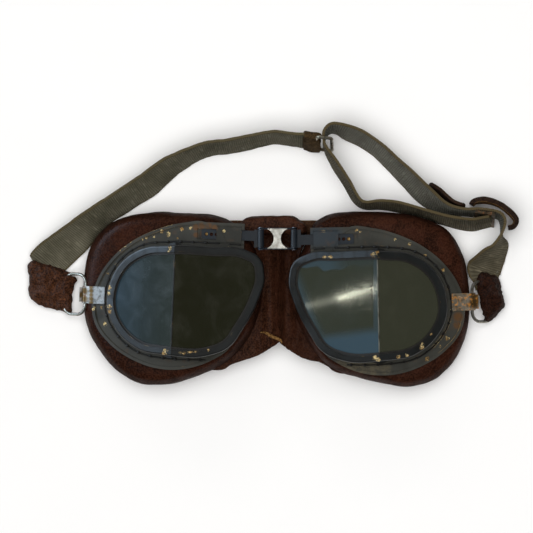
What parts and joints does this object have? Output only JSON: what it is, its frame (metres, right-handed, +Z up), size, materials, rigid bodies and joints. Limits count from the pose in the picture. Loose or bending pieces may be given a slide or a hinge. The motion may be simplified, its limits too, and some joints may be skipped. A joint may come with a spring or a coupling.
{
  "type": "aviator flying goggles",
  "caption": "Metal-framed flying goggles with two-pane eyepieces on leather cushions, a small hinged bridge link and a webbing head strap laid out behind them.",
  "frame": {"origin": "on the table plane, below the middle of the whole lay, strap included", "axes": "+X across the face, to the right as seen from the front, +Y towards the brow and the strap, +Z up, out of the panes"},
  "size_m": [0.2468, 0.1328, 0.0394],
  "materials": {
    "paint": "worn dark grey-green paint with brass showing at the edges",
    "strip_paint": "worn dark blue-grey paint on flat strip",
    "gasket_rubber": "matt black",
    "pane_glass": "smoked, slightly dusty",
    "dark_metal": "dark worn paint",
    "thread": "waxed black thread",
    "thread_light": "pale grey thread",
    "brass": "dull, tarnished",
    "cushion_leather": "dark red-brown, grained, polished by use",
    "tab_leather": "dark brown, creased and worn",
    "tan_leather": "tan, creased",
    "lining_felt": "soft brown felt",
    "worn_steel": "worn, with rust spots",
    "link_steel": "scratched bright steel",
    "webbing": "khaki ribbed webbing with darker selvedges"
  },
  "bodies": {
    "bridge": {"bridge_link": "link_steel", "left_hinge_pin": "worn_steel", "right_hinge_pin": "worn_steel", "left_nose_leather": "cushion_leather", "right_nose_leather": "cushion_leather", "brow_pad": "cushion_leather", "brow_lining": "tan_leather", "left_webbing": "webbing", "right_webbing": "webbing", "webbing_keeper": "tan_leather", "slide_buckle": "brass", "slide_stitching": "thread_light", "backing_tab": "tab_leather", "leather_guard": "tab_leather"},
    "left_strip": {"left_strip": "strip_paint"},
    "left_eyepiece": {"left_cup": "paint", "left_rim": "paint", "left_gasket": "gasket_rubber", "left_inner_pane": "pane_glass", "left_outer_pane": "pane_glass", "left_ridge_strip": "dark_metal", "left_rim_catches": "dark_metal", "left_lacing": "thread", "left_click_spring": "brass", "left_cushion": "cushion_leather", "left_face_lining": "lining_felt", "left_end_clip": "worn_steel"},
    "left_ring": {"left_strap_ring": "worn_steel", "left_strap_tab": "tab_leather"},
    "right_strip": {"right_strip": "strip_paint"},
    "right_eyepiece": {"right_cup": "paint", "right_rim": "paint", "right_gasket": "gasket_rubber", "right_inner_pane": "pane_glass", "right_outer_pane": "pane_glass", "right_ridge_strip": "dark_metal", "right_rim_catches": "dark_metal", "right_lacing": "thread", "right_click_spring": "brass", "right_cushion": "cushion_leather", "right_face_lining": "lining_felt", "right_end_clip": "worn_steel"},
    "right_ring": {"right_strap_ring": "worn_steel", "right_strap_tab": "tab_leather"},
    "keeper_loop": {"keeper_loop": "worn_steel"}
  },
  "joints": [
    {"name": "left_hinge", "type": "hinge", "parent": "bridge", "child": "left_strip", "pos_m": [-0.00525, 0.0079, 0.0252], "axis": [0, -1, 0], "range_deg": [-8, 12], "deforming": ["left_webbing", "left_nose_leather", "brow_pad", "brow_lining"]},
    {"name": "left_slide", "type": "slide", "parent": "left_strip", "child": "left_eyepiece", "axis": [-0.9993, 0.0384, 0], "range_m": [-0.0018, 0.005], "deforming": ["left_webbing", "left_nose_leather", "brow_pad", "brow_lining"]},
    {"name": "left_ring_swing", "type": "hinge", "parent": "left_eyepiece", "child": "left_ring", "pos_m": [-0.09418, -0.0201, 0.0106], "axis": [0.0384, 0.9993, 0], "range_deg": [-8, 40], "deforming": ["left_webbing"]},
    {"name": "right_hinge", "type": "hinge", "parent": "bridge", "child": "right_strip", "pos_m": [0.01125, 0.0079, 0.0252], "axis": [0, 1, 0], "range_deg": [-8, 12], "deforming": ["right_webbing", "right_nose_leather", "brow_pad", "brow_lining"]},
    {"name": "right_slide", "type": "slide", "parent": "right_strip", "child": "right_eyepiece", "axis": [0.9998, 0.0209, 0], "range_m": [-0.0018, 0.005], "deforming": ["right_webbing", "right_nose_leather", "brow_pad", "brow_lining"]},
    {"name": "right_ring_swing", "type": "hinge", "parent": "right_eyepiece", "child": "right_ring", "pos_m": [0.09966, -0.02359, 0.0106], "axis": [0.0209, -0.9998, 0], "range_deg": [-8, 40], "deforming": ["right_webbing"]},
    {"name": "keeper_loop_swing", "type": "hinge", "parent": "bridge", "child": "keeper_loop", "pos_m": [0.02241, 0.05578, 0.01191], "axis": [0.0271, 0.2574, 0.9659], "range_deg": [-15, 15], "deforming": ["right_webbing"]}
  ]
}
